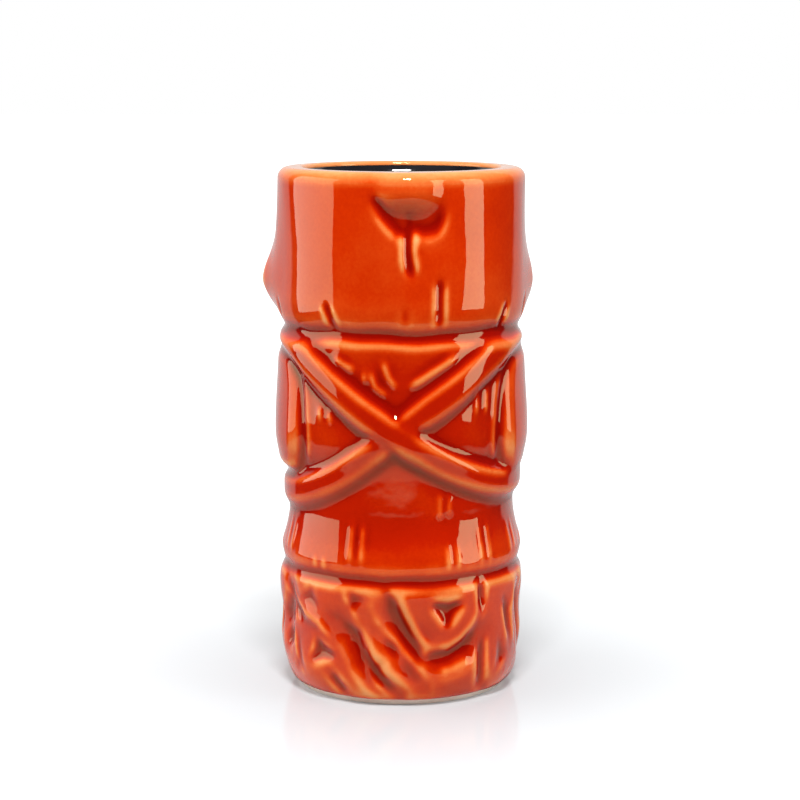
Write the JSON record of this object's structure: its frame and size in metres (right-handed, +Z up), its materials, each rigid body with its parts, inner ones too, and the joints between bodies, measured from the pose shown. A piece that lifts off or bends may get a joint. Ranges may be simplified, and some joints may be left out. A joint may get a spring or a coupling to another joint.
{
  "type": "tiki mug",
  "caption": "Tall ceramic tiki mug carved as a standing figure with crossed straps on a rough-hewn plinth, orange-red glaze outside, black inside.",
  "frame": {"origin": "centre of the foot, on the plane that the mug rests on", "axes": "+Z up out of the mouth; the figure's plain back faces -Y and its carved face looks along +Y; +X is to the right when looking at the back"},
  "size_m": [0.083, 0.0809, 0.16],
  "materials": {
    "bisque": "matte",
    "orange_glaze": "gloss",
    "black_glaze": "gloss"
  },
  "bodies": {
    "root": {"clay_body": "bisque", "outer_glaze": "orange_glaze", "liner_glaze": "black_glaze"}
  },
  "joints": []
}
